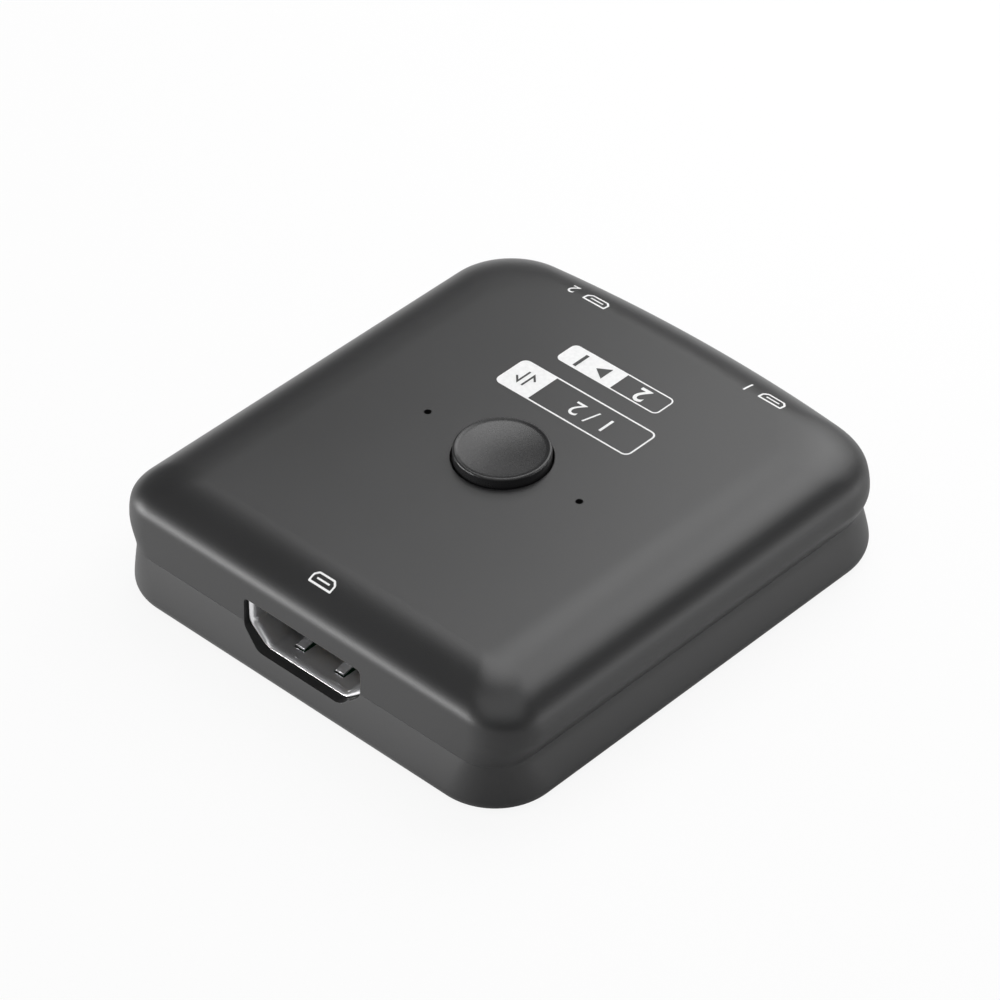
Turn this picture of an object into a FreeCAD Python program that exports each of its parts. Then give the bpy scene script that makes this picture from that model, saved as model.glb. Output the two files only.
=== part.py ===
# A small video switch: one socket in front, two behind, and a push button on top that picks between them.
# Frame: +Z up, the base on z = 0, the origin under the middle.
# The single socket faces +Y and the pair faces -Y.
import FreeCAD, Part
import math
import os
import re

import Sketcher
from FreeCAD import Placement, Rotation, Vector

# Driving dimensions, in millimetres unless the name says otherwise.
SIZES = {
    # housing, outside
    "body_width": 52.5,
    "body_depth": 58.4,
    "body_height": 13.5,
    "waist_height": 5.6,
    "waist_side_inset": 1.45,
    "waist_lean": 0.15,
    "skirt_side_inset": 0.25,
    "skirt_lean": 1.0,
    "bow_radius": 168.0,
    "shoulder_height": 8.4,
    "crown_width": 8.3,
    "crown_power": 2.25,
    "front_shoulder_height": 10.05,
    "front_crown_width": 5.75,
    "front_crown_power": 1.74,
    "front_corner": 5.1,
    "front_corner_waist": 4.4,
    "front_corner_skirt": 6.8,
    "front_corner_top": 0.7,
    "back_corner": 7.2,
    "back_corner_waist": 7.0,
    "back_corner_skirt": 7.8,
    "back_corner_top": 6.6,
    "foot_width": 1.65,
    "foot_height": 1.45,
    # housing, inside
    "wall": 1.5,
    "roof": 1.6,
    "floor": 1.3,
    "floor_bevel": 1.0,
    "lip_thickness": 0.8,
    "lip_clearance": 0.1,
    "lip_height": 1.2,
    "lip_root": 1.2,
    "hook_spread": 12.0,
    "hook_width": 6.0,
    "hook_height": 2.7,
    "hook_catch": 0.55,
    # circuit board and its fixings
    "board_lift": 0.97,
    "board_thickness": 1.0,
    "board_gap": 1.5,
    "board_gap_back": 1.8,
    "board_corner": 5.5,
    "boss_diameter": 4.4,
    "pilot_diameter": 1.6,
    "pilot_floor": 0.5,
    "screw_diameter": 2.0,
    "screw_hole_clearance": 0.1,
    "screw_head_diameter": 3.8,
    "screw_head_height": 1.3,
    "screw_length": 2.6,
    "screw_recess": 0.7,
    "screw_recess_width": 1.9,
    "screw_recess_slot": 0.48,
    "front_screw_side_inset": 5.3,
    "front_screw_inset": 7.7,
    "back_screw_inset": 4.9,
    # sockets: opening 14.0 by 4.55, wide side up
    "port_width": 14.0,
    "port_height": 4.55,
    "port_floor": 10.0,
    "port_taper": 1.9,
    "port_metal": 0.3,
    "port_bend": 0.6,
    "port_depth": 11.2,
    "port_spread": 11.5,
    "mouth_setback": 1.25,
    "frame_side": 0.62,
    "frame_height": 0.22,
    "frame_round": 0.5,
    "recess_side": 0.5,
    "recess_gap": 0.1,
    "spring_width": 1.0,
    "spring_spread": 2.6,
    "spring_metal": 0.2,
    "spring_rise": 0.5,
    "spring_tip": 1.15,
    "spring_crest": 2.6,
    "spring_root": 6.2,
    "spring_slot": 0.2,
    "side_spring_rise": 0.35,
    "side_spring_height": 3.2,
    "leg_width": 1.6,
    "leg_front": 3.0,
    "leg_rear": 9.2,
    "leg_tail": 0.6,
    "leg_clearance": 0.15,
    "tongue_width": 11.4,
    "tongue_thickness": 1.4,
    "tongue_setback": 2.5,
    "tongue_bevel": 0.25,
    "block_depth": 2.8,
    "block_clearance": 0.2,
    "contact_pitch": 1.0,
    "contact_width": 0.3,
    "contact_metal": 0.2,
    "contact_setback": 0.6,
    # push button and the switch under it
    "button_place": 1.0,
    "button_diameter": 9.6,
    "button_gap": 0.35,
    "button_rise": 1.05,
    "button_edge": 0.2,
    "button_rim": 0.3,
    "button_dish": 0.32,
    "dish_floor_diameter": 6.0,
    "rim_step": 0.06,
    "button_roof": 1.3,
    "button_skirt": 1.0,
    "flange_width": 0.8,
    "flange_thickness": 1.4,
    "flange_gap": 0.1,
    "stem_diameter": 3.6,
    "stem_gap": 0.05,
    "guide_clearance": 0.15,
    "guide_wall": 1.0,
    "guide_width": 3.0,
    "guide_height": 2.2,
    "switch_width": 6.0,
    "switch_base_height": 3.2,
    "switch_bevel": 0.5,
    "switch_well_depth": 1.9,
    "switch_well_diameter": 4.6,
    "switch_plate": 0.3,
    "switch_height": 5.0,
    "plunger_diameter": 3.4,
    "plunger_clearance": 0.1,
    "plunger_flange": 0.45,
    "plunger_flange_height": 0.5,
    "dome_height": 0.5,
    "dome_metal": 0.12,
    "dome_width": 4.1,
    "dome_foot": 0.3,
    "dome_crown": 2.2,
    "terminal_width": 0.7,
    "terminal_metal": 0.3,
    "terminal_spread": 2.25,
    "terminal_tail": 0.6,
    # indicator lamps
    "led_spread": 9.9,
    "led_place": 0.95,
    "led_hole_diameter": 0.75,
    "led_length": 2.0,
    "led_width": 1.25,
    "led_base": 0.4,
    "led_height": 0.9,
    "led_lens_length": 1.3,
    "tube_wall": 0.7,
    "tube_gap": 0.3,
    # chips on the board
    "chip_length": 9.0,
    "chip_width": 3.6,
    "chip_height": 0.85,
    "chip_place": -8.5,
    "chip_pad_pitch": 0.5,
    "chip_pad_width": 0.25,
    "chip_pad_height": 0.12,
    "chip_pad_reach": 0.25,
    "regulator_length": 2.9,
    "regulator_width": 1.6,
    "regulator_height": 1.1,
    "regulator_place_x": -15.0,
    "regulator_place_y": -7.5,
    "regulator_lead_pitch": 0.95,
    "regulator_lead_width": 0.4,
    "regulator_lead_metal": 0.15,
    "regulator_lead_reach": 0.6,
    "capacitor_length": 1.6,
    "capacitor_width": 0.8,
    "capacitor_height": 0.8,
    "capacitor_spread": 7.5,
    "capacitor_place": 5.5,
    "capacitor_step": 2.0,
    "capacitor_offset": 2.8,
    "resistor_length": 1.0,
    "resistor_width": 0.5,
    "resistor_height": 0.35,
    "resistor_step": 2.0,
    "resistor_clearance": 1.15,
    "lamp_resistor_step": 3.5,
    "lamp_resistor_offset": 2.65,
    "array_length": 2.5,
    "array_width": 1.0,
    "array_height": 0.55,
    "array_step": 3.0,
    "array_clearance": 1.6,
}

# Places and sizes that follow from the ones above.
DERIVED = {
    "front_face": "body_depth / 2 - skirt_lean",
    "ceiling": "body_height - roof",
    "crown_height": "body_height - shoulder_height",
    "front_crown_height": "body_height - front_shoulder_height",
    "board_side": "body_width / 2 - waist_side_inset - wall - board_gap",
    "board_front": "front_face - wall - board_gap",
    "board_back": "front_face - wall - board_gap_back",
    "front_screw_spread": "board_side - front_screw_side_inset",
    "front_screw_place": "board_front - front_screw_inset",
    "back_screw_place": "board_back - back_screw_inset",
    "board_bottom": "floor + board_lift",
    "board_top": "board_bottom + board_thickness",
    "port_base": "board_top + port_metal",
    "port_outer_width": "port_width + 2 * port_metal",
    "port_outer_height": "port_height + 2 * port_metal",
    "front_mouth": "front_face + waist_lean - mouth_setback",
    "port_edge": "port_spread + port_width / 2 + frame_side",
    "bow_drop": "bow_radius - sqrt(bow_radius ^ 2 - port_edge ^ 2)",
    "back_mouth": "front_mouth - bow_drop",
    "output_rear": "front_mouth - port_depth - 2 * contact_metal",
    "recess_width": "port_outer_width + 2 * recess_side",
    "recess_top": "board_top + port_outer_height + recess_side",
    "button_radius": "button_diameter / 2",
    "button_top": "body_height + button_rise",
    "flange_radius": "button_radius + flange_width",
    "guide_radius": "flange_radius + guide_clearance",
    "flange_top": "ceiling - flange_gap",
    "plunger_top": "board_top + switch_height",
    "plate_top": "board_top + switch_base_height + switch_plate",
    "well_floor": "board_top + switch_base_height - switch_well_depth",
    "tongue_middle": "port_metal + port_height / 2",
}

UPPER_CONTACTS = 10
LOWER_CONTACTS = 9
CHIP_PADS = 14
CROWN_STEPS = (0, 10, 20, 31, 42, 54, 66, 78, 90)

DOC = FreeCAD.newDocument("video_switch")
SHEET = DOC.addObject("Spreadsheet::Sheet", "sizes")
WORD = re.compile(r"[a-z_]+")
PARTS = []


def fill_sheet():
    for row, (name, value) in enumerate(SIZES.items(), 1):
        SHEET.set(f"A{row}", name)
        SHEET.set(f"B{row}", str(value))
        SHEET.setAlias(f"B{row}", name)
    DOC.recompute()


def formula(text):
    """The sheet's formula for a rule written with the plain names of sizes."""

    def cell(word):
        name = word.group()
        if name in DERIVED:
            return f"({formula(DERIVED[name])})"
        return f"sizes.{name}" if name in SIZES else name

    return WORD.sub(cell, str(text))


def number(text):
    return float(SHEET.evalExpression(formula(text)))


def bind(item, key, text):
    item.setExpression(key, formula(text))


def new_body(name, several=False):
    body = DOC.addObject("PartDesign::Body", name)
    body.Label = name
    body.AllowCompound = several
    PARTS.append(body)
    return body


def place(item, x="0", y="0", z="0", turn=0.0):
    item.Placement = Placement(Vector(), Rotation(Vector(0, 0, 1), turn))
    for axis, text in zip("xyz", (x, y, z)):
        bind(item, f"Placement.Base.{axis}", text)


def datum(body, role):
    return next(item for item in body.Origin.OriginFeatures if item.Role == role)


def new_sketch(body, name, role="XY_Plane", offset="0"):
    sketch = body.newObject("Sketcher::SketchObject", name)
    sketch.AttachmentSupport = (datum(body, role), "")
    sketch.MapMode = "FlatFace"
    bind(sketch, "AttachmentOffset.Base.z", offset)
    return sketch


def hold(sketch, tag, constraint, text):
    """Adds a dimension to a sketch and ties it to the sheet."""
    sketch.renameConstraint(sketch.addConstraint(constraint), tag)
    bind(sketch, f"Constraints.{tag}", text)


def hold_point(sketch, tag, item, end, x, y):
    """Ties a point's place to the sheet, both ways from the sketch's origin."""
    hold(sketch, f"{tag}_x", Sketcher.Constraint("DistanceX", -1, 1, item, end, number(x)), x)
    hold(sketch, f"{tag}_y", Sketcher.Constraint("DistanceY", -1, 1, item, end, number(y)), y)


def polygon(sketch, tag, corners, radius=None):
    """A closed outline through corners written as rules. A radius rounds every corner."""
    spots = [Vector(number(x), number(y), 0) for x, y in corners]
    count = len(spots)
    starts, ends, arcs = [], [], {}
    for i, spot in enumerate(spots):
        before = (spots[i - 1] - spot).normalize()
        after = (spots[(i + 1) % count] - spot).normalize()
        if radius is None:
            starts.append(spot)
            ends.append(spot)
            continue
        half = before.getAngle(after) / 2
        size = number(radius)
        centre = spot + (before + after).normalize() * (size / math.sin(half))
        first = spot + before * (size / math.tan(half))
        last = spot + after * (size / math.tan(half))
        left_turn = before.cross(after).z < 0
        arcs[i] = (centre, size, first, last, left_turn)
        ends.append(first)
        starts.append(last)
    lines = []
    for i in range(count):
        side = Part.LineSegment(starts[i], ends[(i + 1) % count])
        lines.append(sketch.addGeometry(side, False))
    for i, (x, y) in enumerate(corners):
        line_in, line_out = lines[i - 1], lines[i]
        if i not in arcs:
            sketch.addConstraint(Sketcher.Constraint("Coincident", line_in, 2, line_out, 1))
            hold_point(sketch, f"{tag}_{i}", line_out, 1, x, y)
            continue
        centre, size, first, last, left_turn = arcs[i]
        angles = [math.atan2((p - centre).y, (p - centre).x) for p in (first, last)]
        if not left_turn:
            angles.reverse()
        circle_line = Part.Circle(centre, Vector(0, 0, 1), size)
        arc = sketch.addGeometry(Part.ArcOfCircle(circle_line, *angles), False)
        near, far = (1, 2) if left_turn else (2, 1)
        sketch.addConstraint(Sketcher.Constraint("Tangent", line_in, 2, arc, near))
        sketch.addConstraint(Sketcher.Constraint("Tangent", arc, far, line_out, 1))
        hold(sketch, f"{tag}_r{i}", Sketcher.Constraint("Radius", arc, size), radius)
        corner = sketch.addGeometry(Part.Point(spots[i]), True)
        sketch.addConstraint(Sketcher.Constraint("PointOnObject", corner, 1, line_in))
        sketch.addConstraint(Sketcher.Constraint("PointOnObject", corner, 1, line_out))
        hold_point(sketch, f"{tag}_{i}", corner, 1, x, y)


def bevelled_square(sketch, tag, half, bevel):
    """A square round the sketch's origin with its four corners cut off."""
    corners = []
    for a, b in ("--", "+-", "++", "-+"):
        near = (f"{a}(({half}) - {bevel})", f"{b}({half})")
        far = (f"{a}({half})", f"{b}(({half}) - {bevel})")
        corners += [far, near] if a == b else [near, far]
    polygon(sketch, tag, corners)


def rectangle(sketch, tag, x, y, width, depth, radius=None):
    corners = []
    for a, b in ("--", "+-", "++", "-+"):
        corners.append((f"{x} {a} ({width}) / 2", f"{y} {b} ({depth}) / 2"))
    polygon(sketch, tag, corners, radius)


def circle(sketch, tag, x, y, diameter):
    centre = Vector(number(x), number(y), 0)
    ring = sketch.addGeometry(Part.Circle(centre, Vector(0, 0, 1), number(diameter) / 2), False)
    hold_point(sketch, tag, ring, 3, x, y)
    hold(sketch, f"{tag}_d", Sketcher.Constraint("Diameter", ring, number(diameter)), diameter)


def feature(body, kind, name, sketch, length, backwards=False, symmetric=False):
    """A pad or a pocket, with a stop if it changes nothing."""
    DOC.recompute()
    before = 0.0 if body.Shape.isNull() else body.Shape.Volume
    item = body.newObject(f"PartDesign::{kind}", name)
    item.Profile = sketch
    item.SideType = "Symmetric" if symmetric else "One side"
    item.Reversed = backwards
    bind(item, "Length", length)
    DOC.recompute()
    if abs(body.Shape.Volume - before) < 1e-6:
        raise ValueError(f"{body.Label}: {name} changes nothing")
    return item


def pad(body, name, sketch, length, **how):
    return feature(body, "Pad", name, sketch, length, **how)


def pocket(body, name, sketch, length, **how):
    return feature(body, "Pocket", name, sketch, length, **how)


def loft(body, kind, name, profiles):
    item = body.newObject(f"PartDesign::{kind}", name)
    item.Profile = profiles[0]
    item.Sections = profiles[1:]
    item.Ruled = True
    DOC.recompute()
    return item


def repeat(body, name, original, role, pitch, count):
    """Copies a feature along an axis, pitch apart."""
    item = body.newObject("PartDesign::LinearPattern", name)
    item.Originals = [original]
    item.Direction = (datum(body, role), [""])
    item.Occurrences = count
    bind(item, "Length", f"({pitch}) * {count - 1}")
    body.Tip = item
    DOC.recompute()
    return item


def revolve(body, name, sketch, kind="Revolution"):
    item = body.newObject(f"PartDesign::{kind}", name)
    item.Profile = sketch
    item.ReferenceAxis = (sketch, ["V_Axis"])
    item.Angle = 360
    DOC.recompute()
    return item


# The housing's outline at one height: straight front and sides, a bowed back, four round corners.

def superellipse(reach, power):
    """Share of a rounding's width that is gone at a share of its height."""
    return f"(1 - max(0; 1 - ({reach}) ^ {power}) ^ (1 / {power}))"


def front_inset(height):
    reach = f"max(0; ({height} - front_shoulder_height) / front_crown_height)"
    return f"front_crown_width * {superellipse(reach, 'front_crown_power')}"


def front_lean(height):
    below = f"(front_shoulder_height - ({height})) / (front_shoulder_height - waist_height)"
    return f"waist_lean * max(0; {below})"


def crown_level(angle, depth="0"):
    """The outline on the crown, angle degrees round its rounding, or a wall's depth inside it."""
    outer = f"shoulder_height + crown_height * sin({angle} deg) ^ (2 / crown_power)"
    gone = f"(1 - cos({angle} deg) ^ (2 / crown_power))"
    inset = f"({depth}) * cos({angle} deg)"
    face = f"front_face + {front_lean(outer)} - {front_inset(outer)} - {inset}"
    return {
        "height": f"{outer} - {'roof' if depth != '0' else 0} * sin({angle} deg)",
        "side": f"body_width / 2 - crown_width * {gone} - {inset}",
        "front": face,
        "back": face,
        "front_corner": f"front_corner - (front_corner - front_corner_top) * {gone}",
        "back_corner": f"back_corner - (back_corner - back_corner_top) * {gone}",
        "bow": f"bow_radius - {front_inset(outer)} - {inset}",
    }


def flank_level(share, depth="0"):
    """The outline between the shoulder, share 0, and the waist, share 1."""
    height = f"shoulder_height - {share} * (shoulder_height - waist_height)"
    face = f"front_face + {front_lean(height)} - {depth}"
    return {
        "height": height,
        "side": f"body_width / 2 - waist_side_inset * {share} ^ 1.5 - {depth}",
        "front": face,
        "back": face,
        "front_corner": f"front_corner - (front_corner - front_corner_waist) * {share} - {depth}",
        "back_corner": f"back_corner - (back_corner - back_corner_waist) * {share} - {depth}",
        "bow": f"bow_radius - {depth}",
    }


def skirt_level(share, depth="0", height=None):
    """The outline between the top of the foot's rounding, share 0, and the waist, share 1."""
    bend = f"{share} ^ 2"
    side_inset = f"skirt_side_inset + (waist_side_inset - skirt_side_inset) * {bend}"
    face = f"body_depth / 2 - (skirt_lean - waist_lean) * {bend} - {depth}"
    corners = {}
    for end in ("front", "back"):
        skirt, waist = f"{end}_corner_skirt", f"{end}_corner_waist"
        corners[f"{end}_corner"] = f"{skirt} - ({skirt} - {waist}) * {bend} - {depth}"
    return {
        "height": height or f"foot_height + {share} * (waist_height - foot_height)",
        "side": f"body_width / 2 - ({side_inset}) - {depth}",
        "front": face,
        "back": face,
        "bow": f"bow_radius - {depth}",
        **corners,
    }


def foot_level(angle):
    """The outline on the foot's rounding, angle degrees down round it."""
    inset = f"foot_width * (1 - cos({angle} deg))"
    return skirt_level(0, inset, f"foot_height * (1 - sin({angle} deg))")


def hollowed(levels):
    """The same levels with one corner radius from top to bottom, as the inside of a wall has."""
    corners = {}
    for end in ("front_corner", "back_corner"):
        corners[end] = f"{end}_waist - wall"
    return [{**level, **corners} for level in levels]


def outline(sketch, tag, level):
    """Draws a level's closed outline in a sketch, anticlockwise from the right side."""
    side, front, back, bow = (number(level[key]) for key in ("side", "front", "back", "bow"))
    round_front, round_back = number(level["front_corner"]), number(level["back_corner"])
    bow_centre = bow - back
    back_start = bow_centre - math.sqrt((bow - round_back) ** 2 - (side - round_back) ** 2)
    touch = math.atan2(back_start - bow_centre, side - round_back)

    def line(x0, y0, x1, y1):
        return Part.LineSegment(Vector(x0, y0, 0), Vector(x1, y1, 0))

    def arc(x, y, size, start, end):
        return Part.ArcOfCircle(Part.Circle(Vector(x, y, 0), Vector(0, 0, 1), size), start, end)

    quarter = math.pi / 2
    first = sketch.GeometryCount
    corner_x, corner_y = side - round_front, front - round_front
    sketch.addGeometry([
        line(side, back_start, side, corner_y),
        arc(corner_x, corner_y, round_front, 0, quarter),
        line(corner_x, front, -corner_x, front),
        arc(-corner_x, corner_y, round_front, quarter, 2 * quarter),
        line(-side, corner_y, -side, back_start),
        arc(round_back - side, back_start, round_back, 2 * quarter, 2 * quarter - touch),
        arc(0, bow_centre, bow, 2 * quarter - touch, 4 * quarter + touch),
        arc(side - round_back, back_start, round_back, 4 * quarter + touch, 4 * quarter),
    ], False)
    right, front_right, ahead, front_left, left, back_left, behind, back_right = range(first, first + 8)
    for i in range(8):
        sketch.addConstraint(Sketcher.Constraint("Tangent", first + i, 2, first + (i + 1) % 8, 1))
    sketch.addConstraint([
        Sketcher.Constraint("Vertical", right),
        Sketcher.Constraint("Vertical", left),
        Sketcher.Constraint("Horizontal", ahead),
        Sketcher.Constraint("PointOnObject", behind, 3, -2),
    ])
    bow_rule = f"{level['bow']} - ({level['back']})"
    held = (
        ("right", Sketcher.Constraint("DistanceX", -1, 1, right, 1, side), level["side"]),
        ("left", Sketcher.Constraint("DistanceX", left, 1, -1, 1, side), level["side"]),
        ("front", Sketcher.Constraint("DistanceY", -1, 1, ahead, 1, front), level["front"]),
        ("centre", Sketcher.Constraint("DistanceY", -1, 1, behind, 3, bow_centre), bow_rule),
        ("bow", Sketcher.Constraint("Radius", behind, bow), level["bow"]),
        ("front_a", Sketcher.Constraint("Radius", front_right, round_front), level["front_corner"]),
        ("front_b", Sketcher.Constraint("Radius", front_left, round_front), level["front_corner"]),
        ("back_a", Sketcher.Constraint("Radius", back_left, round_back), level["back_corner"]),
        ("back_b", Sketcher.Constraint("Radius", back_right, round_back), level["back_corner"]),
    )
    for name, constraint, rule in held:
        hold(sketch, f"{tag}_{name}", constraint, rule)


def section(body, name, level):
    sketch = new_sketch(body, name, offset=level["height"])
    outline(sketch, "edge", level)
    return sketch


def sections(body, name, levels):
    found = [section(body, f"{name}_{i}", level) for i, level in enumerate(levels)]
    DOC.recompute()
    return found


def stack(body, kind, name, levels):
    return loft(body, kind, name, sections(body, f"{name}_line", levels))


# Where the three sockets stand: name, place across, place of the mouth, and half a turn for the pair behind.
PORTS = (
    ("output", "0", "front_mouth", 0.0),
    ("input_1", "-port_spread", "-(back_mouth)", 180.0),
    ("input_2", "port_spread", "-(back_mouth)", 180.0),
)

SCREWS = (
    ("front_screw_spread", "front_screw_place"),
    ("-front_screw_spread", "front_screw_place"),
    ("0", "-back_screw_place"),
)


def port_outline(sketch, tag, x, base, grow_side="0", grow_height="0", radius="port_bend"):
    """A socket's shape, wide side up: straight sides above, slanted ones below."""
    top = f"{base} + port_height + {grow_height}"
    knee = f"{base} + port_taper - {grow_height}"
    low = f"{base} - {grow_height}"
    wide = f"(port_width / 2 + {grow_side})"
    narrow = f"(port_floor / 2 + ({grow_side}) / 2)"
    corners = [
        (f"{x} - {narrow}", low),
        (f"{x} + {narrow}", low),
        (f"{x} + {wide}", knee),
        (f"{x} + {wide}", top),
        (f"{x} - {wide}", top),
        (f"{x} - {wide}", knee),
    ]
    polygon(sketch, tag, corners, radius)


def cut_ports(body):
    """Each socket's opening through the wall, and the pocket behind it that clears the metal shell."""
    for name, x, mouth, turn in PORTS:
        outward = 1 if turn == 0.0 else -1
        hole = new_sketch(body, f"{name}_opening", "XZ_Plane", f"-({mouth}) + {outward} * recess_gap")
        port_outline(hole, "edge", x, "port_base", "frame_side", "frame_height", "frame_round")
        pocket(body, f"{name}_cut", hole, "2 * mouth_setback + skirt_lean + bow_drop", backwards=outward < 0)
        room = new_sketch(body, f"{name}_recess", "XZ_Plane", f"-({mouth}) - {outward} * recess_gap")
        height = "(recess_top - board_bottom)"
        rectangle(room, "edge", x, f"board_bottom + {height} / 2", "recess_width", height)
        pocket(body, f"{name}_room", room, "port_depth / 2", backwards=outward > 0)


def make_top_cover():
    body = new_body("top_cover")
    stack(body, "AdditiveLoft", "flank", [flank_level(share) for share in (1, 0.5, 0)])
    stack(body, "AdditiveLoft", "crown", [crown_level(angle) for angle in CROWN_STEPS])
    inner = [flank_level(share, "wall") for share in (1, 0.5)]
    inner += [crown_level(angle, "wall") for angle in (0, 36, 63, 90)]
    stack(body, "SubtractiveLoft", "hollow", hollowed(inner))

    rails = new_sketch(body, "guide_rails", offset="ceiling")
    reach = "(guide_radius + guide_wall / 2)"
    for tag, sign in (("left", "-"), ("right", "")):
        rectangle(rails, tag, f"{sign}{reach}", "button_place", "guide_wall", "guide_width")
    for tag, sign in (("back", "-"), ("front", "+")):
        rectangle(rails, tag, "0", f"button_place {sign} {reach}", "guide_width", "guide_wall")
    pad(body, "rails", rails, "guide_height", backwards=True)

    tubes = new_sketch(body, "lamp_tubes", offset="ceiling")
    holes = new_sketch(body, "lamp_holes", offset="body_height")
    for name, x in (("left", "-led_spread"), ("right", "led_spread")):
        bore = ("led_length + 2 * tube_gap", "led_width + 2 * tube_gap")
        rectangle(tubes, f"{name}_inner", x, "led_place", *bore)
        rectangle(tubes, f"{name}_outer", x, "led_place", *(f"{size} + 2 * tube_wall" for size in bore))
        circle(holes, name, x, "led_place", "led_hole_diameter")
    pad(body, "tubes", tubes, "ceiling - board_top - led_height - tube_gap", backwards=True)
    pocket(body, "lamp_hole", holes, "roof")

    well = new_sketch(body, "button_hole", offset="body_height")
    circle(well, "edge", "0", "button_place", "button_diameter + 2 * button_gap")
    pocket(body, "button_cut", well, "roof")
    cut_ports(body)


def make_bottom_cover():
    body = new_body("bottom_cover")
    stack(body, "AdditiveLoft", "foot", [foot_level(angle) for angle in (90, 60, 30, 0)])
    stack(body, "AdditiveLoft", "skirt", [skirt_level(share) for share in (0, 0.4, 0.7, 1)])
    inner = [
        skirt_level(0, "(wall + floor_bevel)", "floor"),
        skirt_level(0, "wall", "floor + floor_bevel"),
        skirt_level(1, "wall"),
    ]
    stack(body, "SubtractiveLoft", "hollow", hollowed(inner))

    root = new_sketch(body, "lip_root_ring", offset="waist_height")
    outline(root, "outer", flank_level(1, "(wall / 2)"))
    outline(root, "inner", flank_level(1, "(wall + lip_clearance + lip_thickness)"))
    pad(body, "lip_base", root, "lip_root", backwards=True)
    ring = new_sketch(body, "lip_ring", offset="waist_height")
    outline(ring, "outer", flank_level(1, "(wall + lip_clearance)"))
    outline(ring, "inner", flank_level(1, "(wall + lip_clearance + lip_thickness)"))
    pad(body, "lip", ring, "lip_height")

    face = "body_width / 2 - waist_side_inset - wall - lip_clearance"
    for side, sign in (("left", "-"), ("right", "")):
        hook = new_sketch(body, f"{side}_hook", "XZ_Plane", "hook_spread - hook_width / 2")
        base = "waist_height - lip_root"
        tip = "waist_height + hook_height"
        catch = f"{tip} - 3 * hook_catch"
        profile = [
            (f"{face} - lip_thickness", base),
            (face, base),
            (face, catch),
            (f"{face} + hook_catch", f"{catch} + hook_catch"),
            (f"{face} + hook_catch", f"{tip} - hook_catch"),
            (face, tip),
            (f"{face} - lip_thickness", tip),
        ]
        if sign:
            profile = [(f"-({x})", z) for x, z in reversed(profile)]
        polygon(hook, "edge", profile)
        front = pad(body, f"{side}_hook_pad", hook, "hook_width")
        repeat(body, f"{side}_hooks", front, "Y_Axis", "2 * hook_spread", 2)

    bosses = new_sketch(body, "boss_rings", offset="board_bottom")
    pilots = new_sketch(body, "pilot_holes", offset="board_bottom")
    for i, (x, y) in enumerate(SCREWS):
        circle(bosses, f"boss_{i}", x, y, "boss_diameter")
        circle(pilots, f"pilot_{i}", x, y, "pilot_diameter")
    pad(body, "bosses", bosses, "board_lift + floor / 2", backwards=True)
    pocket(body, "pilots", pilots, "board_bottom - pilot_floor")
    cut_ports(body)


def make_board():
    body = new_body("circuit_board")
    edge = new_sketch(body, "board_edge", offset="board_bottom")
    half = "board_side"
    corners = [
        (f"board_corner - {half}", "-board_back"),
        (f"{half} - board_corner", "-board_back"),
        (half, "board_corner - board_back"),
        (half, "board_front - board_corner"),
        (f"{half} - board_corner", "board_front"),
        (f"board_corner - {half}", "board_front"),
        (f"-{half}", "board_front - board_corner"),
        (f"-{half}", "board_corner - board_back"),
    ]
    polygon(edge, "edge", corners)
    pad(body, "sheet", edge, "board_thickness")

    holes = new_sketch(body, "screw_holes", offset="board_top")
    for i, (x, y) in enumerate(SCREWS):
        circle(holes, f"screw_{i}", x, y, "screw_diameter + 2 * screw_hole_clearance")
    for i, (across, along) in enumerate(((1, 1), (1, -1), (-1, 1), (-1, -1))):
        x = f"{across} * (switch_width / 2 + terminal_metal / 2)"
        y = f"button_place + {along} * terminal_spread"
        wide, deep = "terminal_metal + 2 * leg_clearance", "terminal_width + 2 * leg_clearance"
        rectangle(holes, f"terminal_{i}", x, y, wide, deep)
    pocket(body, "holes", holes, "board_thickness")

    slots = new_sketch(body, "leg_slots", offset="board_top")
    width, depth = "port_metal + 2 * leg_clearance", "leg_width + 2 * leg_clearance"
    for name, x, mouth, turn in PORTS:
        outward = 1 if turn == 0.0 else -1
        for leg in ("leg_front", "leg_rear"):
            for tag, across in (("left", "-"), ("right", "+")):
                middle = f"{x} {across} (port_width + port_metal) / 2"
                along = f"{mouth} - {outward} * {leg}"
                rectangle(slots, f"{name}_{leg}_{tag}", middle, along, width, depth)
    pocket(body, "slots", slots, "board_thickness")


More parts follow.
